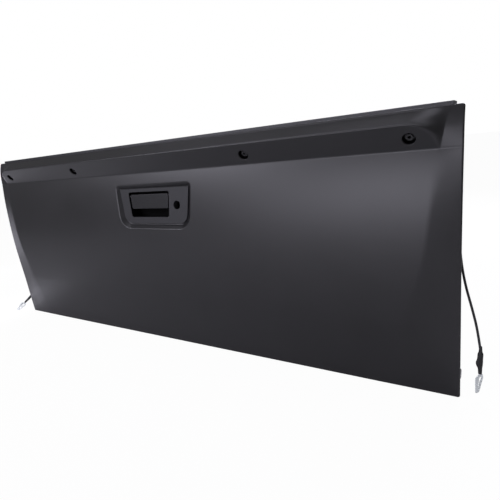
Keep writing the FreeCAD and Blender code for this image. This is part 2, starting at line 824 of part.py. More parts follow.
def make_fixing_nuts():
    seat = skin_sheet * fixing_frame()[1] + 0.05 + cup_depth - cup_wall - 0.05
    nuts = []
    out = FreeCAD.Vector(*fixing_frame())
    for x in fixing_x:
        start = FreeCAD.Vector(*fixing_point(x, seat))
        foot = start - out * nut_flange_thickness
        flange = Part.makeCylinder(nut_flange_radius, nut_flange_thickness, foot, out)
        corner = nut_across / math.sqrt(3)
        across = FreeCAD.Vector(1, 0, 0)
        third = out.cross(across)
        corners = []
        for i in range(7):
            angle = math.pi / 3 * i
            around = across * math.cos(angle) + third * math.sin(angle)
            corners.append(start - out * nut_height + around * corner)
        hexagon = Part.Face(Part.makePolygon(corners)).extrude(out * (nut_height - 0.5))
        nut = fused([flange, hexagon])
        nuts.append(nut.cut(Part.makeCylinder(nut_thread_radius, 40, start - out * 20, out)))
    return Part.makeCompound(nuts)


# Shoulder stud on the right side wall that carries the cable's upper eye
def make_cable_stud():
    start = pan_half + 0.05
    shank_length = 10 + eye_offset + eye_thickness + 1.5
    shoulder = rod((start - 10, stud_y, stud_z), (1, 0, 0), stud_radius, shank_length)
    collar_length = eye_offset - eye_thickness / 2 - 0.3
    collar = rod((start, stud_y, stud_z), (1, 0, 0), stud_radius + 2.5, collar_length)
    head_start = start + eye_offset + eye_thickness / 2 + 0.3
    head = rod((head_start, stud_y, stud_z), (1, 0, 0), stud_head_radius, stud_head_thickness)
    return fused([shoulder, collar, head])


def make_cable_eye():
    x = pan_half + 0.05 + eye_offset
    ring = rod((x - eye_thickness / 2, stud_y, stud_z), (1, 0, 0), eye_radius, eye_thickness)
    barrel_top = stud_z - eye_radius + 2.0
    barrel_end = cable_points(right_route, 1)[0][2] + 0.15
    barrel = rod((x, stud_y, barrel_end), (0, 0, 1), eye_barrel_radius, barrel_top - barrel_end)
    eye = fused([ring, barrel])
    return eye.cut(rod((x - 10, stud_y, stud_z), (1, 0, 0), stud_radius + eye_clearance, 20))


# Points of a cable in the part's own frame; side is 1 on the right and -1 on the left
def cable_points(route, side):
    scale = stud_z / route_stud_height
    return [(side * (pan_half + out), y, z * scale) for out, y, z in route]


# Straight runs joined by tangent arcs along the points of a cable
def cable_path(points, name):
    corners = [FreeCAD.Vector(*p) for p in points]
    edges = []
    start = corners[0]
    radii = []
    for i in range(1, len(corners) - 1):
        back = corners[i - 1] - corners[i]
        ahead = corners[i + 1] - corners[i]
        shorter = min(back.Length, ahead.Length)
        turn = math.pi - back.getAngle(ahead)
        reach = 0.45 * shorter
        radius = reach / math.tan(turn / 2)
        radii.append(radius)
        back.normalize()
        ahead.normalize()
        arc_start = corners[i] + back * reach
        arc_end = corners[i] + ahead * reach
        inward = (back + ahead).normalize()
        middle = corners[i] + inward * (radius / math.cos(turn / 2) - radius)
        edges.append(Part.LineSegment(start, arc_start).toShape())
        edges.append(Part.Arc(arc_start, middle, arc_end).toShape())
        start = arc_end
    edges.append(Part.LineSegment(start, corners[-1]).toShape())
    print(name, "radii", [round(r) for r in radii])
    return Part.Wire(edges)


def make_cable(points, name):
    path = cable_path(points, name)
    first = FreeCAD.Vector(*points[0])
    ahead = FreeCAD.Vector(*points[1]) - first
    circle = Part.Wire(Part.Circle(first, ahead, cable_radius).toShape())
    tube = path.makePipeShell([circle], True, True)
    expected = math.pi * cable_radius ** 2 * path.Length
    print(name, "length", round(path.Length, 1), "volume share", round(tube.Volume / expected, 4))
    return tube


# Turns a shape made along +z from the origin to lie along direction from start
def laid_along(shape, start, direction):
    placed = shape.copy()
    axis = FreeCAD.Vector(*direction)
    turn = FreeCAD.Rotation(FreeCAD.Vector(0, 0, 1), axis)
    placed.Placement = FreeCAD.Placement(FreeCAD.Vector(*start), turn).multiply(placed.Placement)
    return placed


def make_boot(start, direction):
    profile = [
        (0.0, 0.0),
        (cable_radius + 1.2, 0.0),
        (boot_radius, 8.0),
        (boot_radius, boot_length - 4.0),
        (boot_radius - 1.2, boot_length),
        (0.0, boot_length),
    ]
    points = [FreeCAD.Vector(r, 0, h) for r, h in profile]
    face = Part.Face(Part.makePolygon(points + [points[0]]))
    body = face.revolve(FreeCAD.Vector(0, 0, 0), FreeCAD.Vector(0, 0, 1), 360)
    return laid_along(body, start, direction)


# Keyhole end plate with a short barrel, in line with the boot
def make_cable_end(start, direction):
    radius = end_plate_width / 2
    barrel = Part.makeCylinder(end_barrel_radius, 8.0, FreeCAD.Vector(0, 0, 0.05))
    head_z = end_plate_length - radius
    disc = rod((0, -end_plate_thickness / 2, head_z), (0, 1, 0), radius, end_plate_thickness)
    neck_half = end_barrel_radius + 1
    neck = box(-neck_half, neck_half, -end_plate_thickness / 2, end_plate_thickness / 2, 5.0, head_z)
    plate = fused([barrel, disc, neck])
    plate = plate.cut(rod((0, -5, head_z), (0, 1, 0), key_radius, 10))
    plate = plate.cut(box(-key_slot / 2, key_slot / 2, -5, 5, 11.0, head_z))
    return laid_along(plate, start, direction)


# Where the boot starts: just past the cable's end, clear of it although the boot leans
def boot_start(points, direction):
    axis = FreeCAD.Vector(*direction).normalize()
    end = FreeCAD.Vector(*points[-1])
    run = end - FreeCAD.Vector(*points[-2])
    return end + axis * (cable_radius * math.tan(run.getAngle(axis)) + 0.05)


def main():
    form = outer_form()
    nodes = {}
    nodes["outer_skin"] = make_outer_skin(form)
    nodes["inner_panel"] = make_inner_panel(form)
    nodes["access_cover"] = make_access_cover()
    nodes["cover_screws"] = make_cover_screws()
    nodes["top_channel"] = make_top_channel()
    nodes["fixing_cups"] = make_fixing_cups()
    nodes["fixing_nuts"] = make_fixing_nuts()
    nodes["handle_bezel"] = make_handle_bezel()
    nodes["handle_housing"] = make_handle_housing()
    nodes["handle_pin"] = make_handle_pin()
    nodes["pull_handle"] = make_pull_handle()
    both_sides = {
        "side_channel": make_side_channel(),
        "latch_body": make_latch(),
        "latch_fork": make_latch_fork(),
        "latch_screws": make_latch_screws(),
        "hinge_pivot": make_hinge_pivot(),
        "hinge_bolts": make_hinge_bolts(),
        "bump_stop": make_bump_stop(),
        "cable_stud": make_cable_stud(),
        "cable_eye": make_cable_eye(),
    }
    for name, shape in both_sides.items():
        nodes[name + "_right"] = shape
        nodes[name + "_left"] = mirrored(shape)
    cables = [
        ("right", cable_points(right_route, 1), right_boot_direction),
        ("left", cable_points(left_route, -1), left_boot_direction),
    ]
    for side, points, direction in cables:
        start = boot_start(points, direction)
        end = start + FreeCAD.Vector(*direction).normalize() * boot_length
        nodes["cable_" + side] = make_cable(points, "cable_" + side)
        nodes["cable_boot_" + side] = make_boot(start, direction)
        nodes["cable_end_" + side] = make_cable_end(end, direction)
    os.makedirs("parts", exist_ok=True)
    for name, shape in nodes.items():
        shape.exportStep("parts/" + name + ".step")
        print(name, "solids", len(shape.Solids), "volume", round(shape.Volume), "valid", shape.isValid())


main()
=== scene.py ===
import math
import bpy
import numpy as np
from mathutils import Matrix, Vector


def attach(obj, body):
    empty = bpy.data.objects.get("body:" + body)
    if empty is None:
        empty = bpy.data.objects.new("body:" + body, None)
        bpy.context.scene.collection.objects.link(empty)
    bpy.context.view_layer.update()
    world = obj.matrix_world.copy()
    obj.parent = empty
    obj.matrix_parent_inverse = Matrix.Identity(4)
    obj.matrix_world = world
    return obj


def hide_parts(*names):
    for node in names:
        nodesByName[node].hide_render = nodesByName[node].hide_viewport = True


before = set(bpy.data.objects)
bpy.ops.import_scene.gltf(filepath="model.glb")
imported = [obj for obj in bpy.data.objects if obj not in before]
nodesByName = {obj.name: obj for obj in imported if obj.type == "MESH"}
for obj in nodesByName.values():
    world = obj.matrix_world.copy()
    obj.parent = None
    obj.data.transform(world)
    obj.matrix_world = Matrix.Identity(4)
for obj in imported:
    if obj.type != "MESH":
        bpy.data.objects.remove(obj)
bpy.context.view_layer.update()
mm = 0.001
scene = bpy.context.scene


# camera at the photograph's angle, in metres and degrees
view = {
    "lens": 30.0,
    "sensor": 36.0,
    "nearest": 0.02,
    "place": (0.87279, -0.90065, 0.55238),
    "turn": (76.5085, 5.7483, 31.9202),
}


def makeCamera():
    data = bpy.data.cameras.new("camera")
    data.sensor_fit = "HORIZONTAL"
    data.sensor_width = view["sensor"]
    data.lens = view["lens"]
    data.clip_start = view["nearest"]
    camera = bpy.data.objects.new("camera", data)
    scene.collection.objects.link(camera)
    camera.location = view["place"]
    camera.rotation_euler = [math.radians(angle) for angle in view["turn"]]
    scene.camera = camera


makeCamera()
print("camera done")


# a node-based finish: two tones mixed by noise, a fine bump, and roughness that wanders a little
def finish(name, dark, light, roughness, metallic=0.0, specular=0.5, scale=60.0, bumpScale=900.0,
           bump=0.04, spread=0.06):
    material = bpy.data.materials.new(name)
    material.use_nodes = True
    tree = material.node_tree
    shader = tree.nodes["Principled BSDF"]
    shader.inputs["Metallic"].default_value = metallic
    shader.inputs["Specular IOR Level"].default_value = specular
    place = tree.nodes.new("ShaderNodeTexCoord")
    cloud = tree.nodes.new("ShaderNodeTexNoise")
    cloud.inputs["Scale"].default_value = scale
    cloud.inputs["Detail"].default_value = 4.0
    tree.links.new(place.outputs["Object"], cloud.inputs["Vector"])
    tones = tree.nodes.new("ShaderNodeMix")
    tones.data_type = "RGBA"
    tones.inputs[6].default_value = (*dark, 1.0)
    tones.inputs[7].default_value = (*light, 1.0)
    tree.links.new(cloud.outputs["Fac"], tones.inputs[0])
    tree.links.new(tones.outputs[2], shader.inputs["Base Color"])
    rough = tree.nodes.new("ShaderNodeMapRange")
    rough.inputs["To Min"].default_value = roughness - spread
    rough.inputs["To Max"].default_value = roughness + spread
    tree.links.new(cloud.outputs["Fac"], rough.inputs["Value"])
    tree.links.new(rough.outputs["Result"], shader.inputs["Roughness"])
    grain = tree.nodes.new("ShaderNodeTexNoise")
    grain.inputs["Scale"].default_value = bumpScale
    grain.inputs["Detail"].default_value = 2.0
    tree.links.new(place.outputs["Object"], grain.inputs["Vector"])
    relief = tree.nodes.new("ShaderNodeBump")
    relief.inputs["Strength"].default_value = bump
    relief.inputs["Distance"].default_value = 0.001
    tree.links.new(grain.outputs["Fac"], relief.inputs["Height"])
    tree.links.new(relief.outputs["Normal"], shader.inputs["Normal"])
    return material


primer = finish("primer", (0.0105, 0.0103, 0.0110), (0.0155, 0.0150, 0.0162), 0.38, specular=0.5, scale=9.0,
                bumpScale=420.0, bump=0.03, spread=0.03)
panelPrimer = finish("panelPrimer", (0.018, 0.018, 0.020), (0.027, 0.026, 0.030), 0.45, specular=0.45,
                     scale=14.0, bumpScale=420.0, bump=0.05, spread=0.05)
trimPlastic = finish("trimPlastic", (0.020, 0.020, 0.022), (0.028, 0.028, 0.030), 0.48, specular=0.35,
                     scale=120.0, bumpScale=2600.0, bump=0.12, spread=0.04)
handlePlastic = finish("handlePlastic", (0.0095, 0.0095, 0.0103), (0.0145, 0.0145, 0.0155), 0.40,
                       specular=0.32, scale=120.0, bumpScale=2600.0, bump=0.10, spread=0.04)
# near-black with almost no sheen: the fixing cups and the handle housing are black plastic, and this finish
# is darkened further to paint the shade inside the fixing holes and in the gap round the handle
blackPlasticPaintedShade = finish("blackPlasticPaintedShade", (0.0015, 0.0015, 0.0015), (0.003, 0.003, 0.003), 0.7, specular=0.05,
                     scale=120.0, bumpScale=1800.0, bump=0.08, spread=0.04)
latchSteel = finish("latchSteel", (0.42, 0.41, 0.40), (0.60, 0.59, 0.57), 0.36, metallic=1.0, scale=160.0,
                    bumpScale=1500.0, bump=0.08, spread=0.08)
zincSteel = finish("zincSteel", (0.52, 0.53, 0.55), (0.72, 0.72, 0.73), 0.30, metallic=1.0, scale=220.0,
                   bumpScale=1400.0, bump=0.06, spread=0.09)
hookSteel = finish("hookSteel", (0.66, 0.70, 0.68), (0.84, 0.88, 0.85), 0.45, metallic=0.1, scale=260.0,
                   bumpScale=1400.0, bump=0.06, spread=0.08)
# steel for the fixing nuts, made dark to paint the shade seen inside the fixing holes
paintedShadeSteel = finish("paintedShadeSteel", (0.030, 0.030, 0.031), (0.055, 0.055, 0.056), 0.42, metallic=0.6,
                   scale=160.0, bumpScale=1500.0, bump=0.08, spread=0.08)
cableVinyl = finish("cableVinyl", (0.010, 0.010, 0.011), (0.018, 0.018, 0.019), 0.35, specular=0.5,
                    scale=300.0, bumpScale=1500.0, bump=0.05, spread=0.05)
rubber = finish("rubber", (0.011, 0.011, 0.011), (0.020, 0.020, 0.020), 0.62, specular=0.35, scale=260.0,
                bumpScale=2200.0, bump=0.15, spread=0.06)


# the finish of each CAD node, without its side
nodeFinishes = {
    "outer_skin": primer,
    "inner_panel": panelPrimer,
    "access_cover": panelPrimer,
    "cover_screws": zincSteel,
    "top_channel": panelPrimer,
    "side_channel": panelPrimer,
    # the fixing cups, the fixing nuts and the handle housing below have finishes darkened to paint shade
    "fixing_cups": blackPlasticPaintedShade,
    "fixing_nuts": paintedShadeSteel,
    "handle_bezel": trimPlastic,
    "handle_housing": blackPlasticPaintedShade,
    "handle_pin": zincSteel,
    "pull_handle": handlePlastic,
    "latch_body": zincSteel,
    "latch_fork": latchSteel,
    "latch_screws": zincSteel,
    "hinge_pivot": latchSteel,
    "hinge_bolts": zincSteel,
    "bump_stop": rubber,
    "cable_stud": zincSteel,
    "cable_eye": zincSteel,
    "cable": cableVinyl,
    "cable_boot": rubber,
    "cable_end": zincSteel,
}
# millimetres of small round on the pressed, moulded and turned edges
edgeWidths = {
    "access_cover": 0.6,
    "cover_screws": 0.3,
    "side_channel": 0.5,
    "handle_bezel": 0.5,
    "pull_handle": 0.9,
    "latch_body": 0.5,
    "latch_fork": 0.6,
    "latch_screws": 0.3,
    "hinge_pivot": 0.5,
    "hinge_bolts": 0.4,
    "bump_stop": 0.8,
    "cable_stud": 0.4,
    "cable_eye": 0.3,
    "inner_panel": 0.8,
}


def roundEdges(node, width):
    edge = node.modifiers.new("edge", "BEVEL")
    edge.width = width * mm
    edge.segments = 2
    edge.limit_method = "ANGLE"
    edge.angle_limit = math.radians(35)
    even = node.modifiers.new("even", "WEIGHTED_NORMAL")  # even shading over the flat faces
    even.keep_sharp = True


def dressNodes():
    for nodeName, node in nodesByName.items():
        stem = nodeName.removesuffix("_right").removesuffix("_left")
        node.data.materials.clear()
        node.data.materials.append(nodeFinishes[stem])
        for polygon in node.data.polygons:
            polygon.material_index = 0
        if stem in edgeWidths:
            roundEdges(node, edgeWidths[stem])


dressNodes()
print("finishes done")


def meshObject(name, points, faces, material, smooth=True):
    mesh = bpy.data.meshes.new(name)
    mesh.from_pydata([tuple(p) for p in points], [], faces)
    mesh.validate()
    mesh.polygons.foreach_set("use_smooth", [smooth] * len(mesh.polygons))
    mesh.materials.append(material)
    obj = bpy.data.objects.new(name, mesh)
    scene.collection.objects.link(obj)
    return obj


# smooth body through oval sections along an axis: (distance, half width, half depth, sideways shift)
def ovalBody(name, start, axis, side, sections, material, segments=28):
    axis = Vector(axis).normalized()
    side = (Vector(side) - axis * Vector(side).dot(axis)).normalized()
    third = axis.cross(side)
    points = []
    faces = []
    for distance, halfWidth, halfDepth, shift in sections:
        centre = Vector(start) + axis * distance + side * shift
        for i in range(segments):
            angle = 2 * math.pi * i / segments
            reach = side * halfWidth * math.cos(angle) + third * halfDepth * math.sin(angle)
            points.append((centre + reach) * mm)
    last = (len(sections) - 1) * segments
    for low in range(0, last, segments):
        high = low + segments
        for i in range(segments):
            j = (i + 1) % segments
            faces.append((low + i, low + j, high + j, high + i))
    faces.append(tuple(reversed(range(segments))))
    faces.append(tuple(range(last, last + segments)))
    return meshObject(name, points, faces, material)


# flat plate from closed outlines, the first one outside, lying across the given directions
def flatPlate(name, outlines, thickness, rim, start, along, across, material):
    curve = bpy.data.curves.new(name + "_outline", "CURVE")
    curve.dimensions = "2D"
    curve.fill_mode = "BOTH"
    curve.extrude = thickness / 2 - rim
    curve.bevel_depth = rim
    curve.bevel_resolution = 2
    for outline in outlines:
        spline = curve.splines.new("POLY")
        spline.points.add(len(outline) - 1)
        for point, (u, v) in zip(spline.points, outline):
            point.co = (u, v, 0.0, 1.0)
        spline.use_cyclic_u = True
    holder = bpy.data.objects.new(name + "_outline", curve)
    scene.collection.objects.link(holder)
    bpy.context.view_layer.update()
    mesh = bpy.data.meshes.new_from_object(holder)
    bpy.data.objects.remove(holder)
    along = Vector(along).normalized()
    across = (Vector(across) - along * Vector(across).dot(along)).normalized()
    facing = across.cross(along)
    for vertex in mesh.vertices:
        u, v, w = vertex.co
        vertex.co = (Vector(start) + across * u + along * v + facing * w) * mm
    mesh.materials.clear()
    mesh.materials.append(material)
    for polygon in mesh.polygons:
        polygon.use_smooth = False
    plate = bpy.data.objects.new(name, mesh)
    scene.collection.objects.link(plate)
    return plate


# closed path with its corners rounded: each corner is (x, y, radius)
def roundedPath(corners, steps=7):
    path = []
    count = len(corners)
    for i, (x, y, radius) in enumerate(corners):
        corner = Vector((x, y))
        back = (Vector(corners[i - 1][:2]) - corner).normalized()
        ahead = (Vector(corners[(i + 1) % count][:2]) - corner).normalized()
        half = back.angle(ahead) / 2
        start = corner + back * radius / math.tan(half)
        end = corner + ahead * radius / math.tan(half)
        for step in range(steps + 1):
            t = step / steps
            blend = start * (1 - t) ** 2 + corner * 2 * t * (1 - t) + end * t * t
            path.append((blend.x, blend.y))
    return path


# closed ring of round wire
def wireRing(name, centre, axis, radius, wire, material, segments=32):
    curve = bpy.data.curves.new(name, "CURVE")
    curve.dimensions = "3D"
    curve.bevel_depth = wire * mm
    curve.bevel_resolution = 3
    spline = curve.splines.new("POLY")
    spline.points.add(segments - 1)
    axis = Vector(axis).normalized()
    side = axis.orthogonal().normalized()
    third = axis.cross(side)
    for i in range(segments):
        angle = 2 * math.pi * i / segments
        place = (Vector(centre) + (side * math.cos(angle) + third * math.sin(angle)) * radius) * mm
        spline.points[i].co = (*place, 1.0)
    spline.use_cyclic_u = True
    curve.materials.append(material)
    ring = bpy.data.objects.new(name, curve)
    scene.collection.objects.link(ring)
    return ring


# the two support cables, with the CAD routes in millimetres
cableRight = {
    "side": "right",
    "boot": (0.005, -0.012, -1.0),
    "lug": (-1.0, -0.3, 0.0),
    "plate": (0.60, 0.80, 0.0),
    "plateLean": (-0.10, 0.0, -1.0),
    "length": 0.3012,
    "route": [(779.5, 4.0, 404.0), (780.2, 3.2, 352.0), (783.5, 0.5, 300.0), (793.0, -5.0, 247.0),
              (807.5, -9.5, 196.0), (818.5, -12.0, 151.0), (824.5, -13.2, 108.0)],
}
cableLeft = {
    "side": "left",
    "boot": (-0.6, -0.49, -0.632),
    "lug": (1.0, -0.6, 0.0),
    "plate": (0.30, 0.90, -0.3),
    "plateLean": (-0.6, -0.49, -0.632),
    "length": 0.3428,
    "route": [(-779.5, 4.0, 404.0), (-780.8, 6.5, 352.0), (-780.3, 9.5, 300.0), (-778.4, 12.2, 250.0),
              (-776.6, 12.6, 202.0), (-775.9, 9.5, 158.0), (-776.2, 2.3, 119.5), (-781.2, -7.7, 91.0),
              (-792.5, -18.5, 69.0)],
}
cableRadius = 2.5 * mm

# rubber boot, stamped plate and small ring at a cable's end, in millimetres
cableEnd = {
    "bootSections": [(-11, 2.6, 2.6, 0), (-9.5, 2.95, 2.95, 0), (-4, 3.2, 3.1, 0), (1, 3.5, 3.3, 0),
                     (3, 4.0, 3.6, 0), (4.5, 5.1, 4.4, 0), (6.5, 5.5, 4.7, 0), (13, 5.5, 4.8, 0.2),
                     (19, 5.6, 4.7, 0.6), (22, 6.3, 4.7, 1.3), (24.5, 6.8, 4.7, 1.7), (29, 6.6, 4.6, 1.7),
                     (33, 5.8, 4.4, 1.2), (37, 4.4, 4.1, 0.5), (40, 3.9, 3.9, 0.1), (50, 3.8, 3.7, 0),
                     (52, 3.0, 3.0, 0)],
    "plateOutline": [(-4.0, 45.0, 3.6), (4.6, 45.0, 3.6), (10.0, 11.0, 7.0), (6.5, 1.0, 4.0),
                     (-3.0, 1.0, 3.0), (-5.5, 4.5, 2.0), (-10.5, 5.5, 4.0), (-10.0, 14.0, 8.0)],
    "plateHole": [(-0.8, 7.0, 2.6), (5.8, 7.0, 2.6), (5.8, 14.0, 2.6), (3.0, 18.5, 1.6), (1.9, 36.0, 1.4),
                  (-1.1, 36.0, 1.4), (-1.0, 18.5, 1.6), (-1.2, 14.0, 2.4)],
    "plateStart": 51.0,
    "plateThickness": 1.8,
    "plateRim": 0.35,
    "ringStart": 53.0,
    "ringRadius": 2.6,
    "ringWire": 0.8,
}


# the boot has a lug on one side, and the plate hooks over a stud on the truck's body
def makeCableEnd(cable):
    side = cable["side"]
    start = Vector(cable["route"][-1])
    axis = Vector(cable["boot"]).normalized()
    boot = ovalBody("boot_" + side, start, axis, cable["lug"], cableEnd["bootSections"], rubber)
    shading = boot.modifiers.new("soft", "SUBSURF")
    shading.levels = 1
    shading.render_levels = 1
    across = Vector(cable["plate"])
    outlines = [roundedPath(cableEnd["plateOutline"]), roundedPath(cableEnd["plateHole"])]
    plate = flatPlate("hook_plate_" + side, outlines, cableEnd["plateThickness"], cableEnd["plateRim"],
                      start + axis * cableEnd["plateStart"], cable["plateLean"], across, hookSteel)
    ring = wireRing("hook_ring_" + side, start + axis * cableEnd["ringStart"], axis.cross(across),
                    cableEnd["ringRadius"], cableEnd["ringWire"], zincSteel)
    for piece, nodeName, slotName in ((boot, "cable_boot_", "rubber_black"), (plate, "cable_end_", "zinc")):
        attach(piece, "gate")
        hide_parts(nodeName + side)
    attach(ring, "gate")
    return [boot, plate, ring]


def makeCable(cable):
    side = cable["side"]
    points = [tuple(value * mm for value in point) for point in cable["route"]]
    curve = bpy.data.curves.new("cable_" + side, "CURVE")
    curve.dimensions = "3D"
    curve.bevel_depth = cableRadius
    curve.bevel_resolution = 6
    curve.use_fill_caps = True
    spline = curve.splines.new("NURBS")
    spline.points.add(len(points) - 1)
    for controlPoint, point in zip(spline.points, points):
        controlPoint.co = (*point, 1.0)
    spline.order_u = 3
    spline.use_endpoint_u = True
    spline.resolution_u = 24
    cord = bpy.data.objects.new("support_cable_" + side, curve)
    scene.collection.objects.link(cord)
    curve.materials.append(cableVinyl)
    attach(cord, "gate")
    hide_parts("cable_" + side)
    makeCableEnd(cable) + [nodesByName["cable_eye_" + side]]


makeCable(cableRight)
makeCable(cableLeft)
print("cables done")


# 0 below low, 1 above high, smooth between
def blendStep(value, low, high):
    t = np.clip((value - low) / (high - low), 0.0, 1.0)
    return t * t * (3.0 - 2.0 * t)


# the larger of two heights, with their crease rounded over a given depth
def softMax(first, second, rounding):
    share = np.clip(0.5 + 0.5 * (first - second) / rounding, 0.0, 1.0)
    return second + (first - second) * share + rounding * share * (1.0 - share)


def softMin(first, second, rounding):
    return -softMax(-first, -second, rounding)


# smooth curve through a short list of heights and values
def curveThrough(z, knots, values):
    knots = np.array(knots)
    values = np.array(values)
    slopes = np.gradient(values, knots)
    i = np.clip(np.searchsorted(knots, z) - 1, 0, len(knots) - 2)
    span = knots[i + 1] - knots[i]
    t = np.clip((z - knots[i]) / span, 0.0, 1.0)
    first = (2 * t**3 - 3 * t**2 + 1) * values[i] + (t**3 - 2 * t**2 + t) * slopes[i] * span
    second = (3 * t**2 - 2 * t**3) * values[i + 1] + (t**3 - t**2) * slopes[i + 1] * span
    return first + second


# outer skin, in millimetres: depths are in front of the outer edge line
skin = {
    "halfWidth": 790.0,
    "height": 596.0,
    "edgeY": -29.0,
    "hem": 3.0,
    "corner": 5.0,
    "peak": 30.8,
    "peakZ": 305.0,
    "curveUp": 4.03e-4,
    "curveDown": 3.1e-4,
    "creaseZ": 157.0,
    "bandZ": 521.0,
    "ridgeZ": 569.0,
    "ridge": 42.0,
    "bulge": 2.2,
    "bulgeFull": 120.0,
    "bulgeGone": 600.0,
    "bandRound": 1.8,
    "ridgeRound": 5.0,
    "ridgeLift": 0.8,
    "return": 14.0,
}
# the end strips by height: their width, how far their outer edge bows out, and beside the band the
# depth at their inner crease and the slope of the facet that joins them to the band
strip = {
    "heights": [0, 80, 157, 209, 268, 328, 388, 447, 485, 508, 521, 536, 548, 560, 568, 582, 596],
    "widths": [90, 90, 94, 89.5, 75.5, 64.5, 57.5, 49.5, 43, 40, 40.5, 38, 35.5, 33.2, 31.5, 28.5, 26.5],
    "bows": [0, 4.5, 8.7, 12.7, 16.5, 18.3, 18.4, 17.2, 15, 13.2, 12.4, 11.8, 11.0, 9.6, 8.1, 4.5, -0.4],
    "topHeights": [521, 536, 548, 560, 568, 582, 596],
    "topDepths": [12.4, 13.1, 12.9, 11.7, 10.0, 6.3, 1.0],
    "facetSlopes": [0.9, 1.28, 1.19, 0.82, 0.55, 0.27, 0.02],
    "facetLow": 505.0,
    "facetHigh": 524.0,
    "roundHeights": [0, 157, 209, 300, 480, 521, 540, 596],
    "rounds": [2.5, 3.0, 2.2, 1.2, 1.0, 1.0, 3.5, 3.0],
}


# field, lower crease, band and upper face between the two end strips
def middleDepth(x, z):
    ends = blendStep(np.abs(x), skin["bulgeFull"], skin["bulgeGone"])
    curve = np.where(z > skin["peakZ"], skin["curveUp"], skin["curveDown"])
    field = skin["peak"] - curve * (z - skin["peakZ"]) ** 2
    creaseDepth = skin["peak"] - skin["curveDown"] * (skin["creaseZ"] - skin["peakZ"]) ** 2
    share = z / skin["creaseZ"]
    kick = creaseDepth * share + skin["bulge"] * (1.0 - ends) * 4.0 * share * (1.0 - share) * (share < 1)
    low = softMin(field, kick, 0.5 + 3.0 * (1.0 - ends))
    foot = skin["peak"] - skin["curveUp"] * (skin["bandZ"] - skin["peakZ"]) ** 2
    rise = (skin["ridge"] - foot) / (skin["ridgeZ"] - skin["bandZ"])
    band = foot + rise * (z - skin["bandZ"])
    top = skin["ridge"] * (skin["height"] - z) / (skin["height"] - skin["ridgeZ"])
    return softMin(softMax(low, band, skin["bandRound"]), top + skin["ridgeLift"], skin["ridgeRound"])


def stripCrease(z):
    return skin["halfWidth"] - curveThrough(z, strip["heights"], strip["widths"])


# depth of the whole face, with the end strips and, beside the band, the facets that join them to it
def outerDepth(x, z):
    middle = middleDepth(x, z)
    crease = stripCrease(z)
    bow = curveThrough(z, strip["heights"], strip["bows"])
    topDepth = curveThrough(z, strip["topHeights"], strip["topDepths"])
    atCrease = np.where(z > skin["bandZ"], topDepth, middleDepth(crease, z))
    stripSlope = (atCrease - bow) / (skin["halfWidth"] - crease)
    face = bow + stripSlope * (skin["halfWidth"] - np.abs(x))
    upper = blendStep(z, strip["facetLow"], strip["facetHigh"])
    topSlope = curveThrough(z, strip["topHeights"], strip["facetSlopes"])
    facetSlope = np.where(z > skin["bandZ"], topSlope, strip["facetSlopes"][0])
    facetSlope = facetSlope * upper + (stripSlope + 0.02) * (1.0 - upper)
    facet = atCrease + facetSlope * (crease - np.abs(x))
    side = softMax(face, facet, 0.05 + 1.2 * upper)
    return softMin(middle, side, curveThrough(z, strip["roundHeights"], strip["rounds"]))


# grid lines through the stops, with a number of steps between each two
def lines(stops, steps):
    parts = [np.linspace(low, high, n, endpoint=False) for low, high, n in zip(stops[:-1], stops[1:], steps)]
    return np.concatenate(parts + [[stops[-1]]])


# where the grid of the skin has its lines, in millimetres and steps
skinGrid = {
    "xStops": [0, 168, 301, 349, 655],
    "xSteps": [67, 17, 12, 40],
    "zStops": [3, 7, 15, 140, 172, 345, 505, 515, 527, 560, 578, 589, 593],
    "zSteps": [6, 3, 17, 13, 20, 64, 4, 9, 12, 14, 6, 6],
    "creaseSteps": 18,
    "stripSteps": 16,
    "rim": 4,
    "rimSteps": 6,
    "hemSteps": 8,
}
# pocket mouth corners are (x, z, radius) about the pocket's centre, and wall steps run out from the
# floor's edge to the mouth and then back under the bezel
pocket = {
    "x": 168.0,
    "low": 345.0,
    "high": 505.0,
    "z": 425.0,
    "floorY": -42.4968,
    "tilt": math.radians(4.5),
    "wallRun": 1.05,
    "spread": 12.075,
    "floorRound": 1.4,
    "mouthRound": 2.2,
    "arcSteps": 120,
    "mouthStep": 0.5,
    "corners": [(-134.0, -65.0, 44.0), (134.0, -65.0, 44.0), (149.0, 65.0, 14.0), (-149.0, 65.0, 14.0)],
    "wallSteps": [19, 17.4, 16] + [15.2 - 0.7 * i for i in range(15)]
                 + [3.9, 2.8, 1.9, 1.1, 0.4, -0.3, -1.1, -2.2, -4, -7],
}
# each ring of a fixing hole is (how much wider than the hole, how deep behind the face)
fixing = {
    "z": 542.0,
    "radius": 12.5,
    "xs": (-698.0, -325.0, 325.0, 698.0),
    "low": 525.5,
    "high": 559.0,
    "halfWindow": 17,
    "lean": math.atan2(30.0, 48.0),
    "rings": ((2.2, 0), (1.2, 0.02), (0.6, 0.15), (0.15, 0.5), (0, 1.1), (0, 4.0)),
}


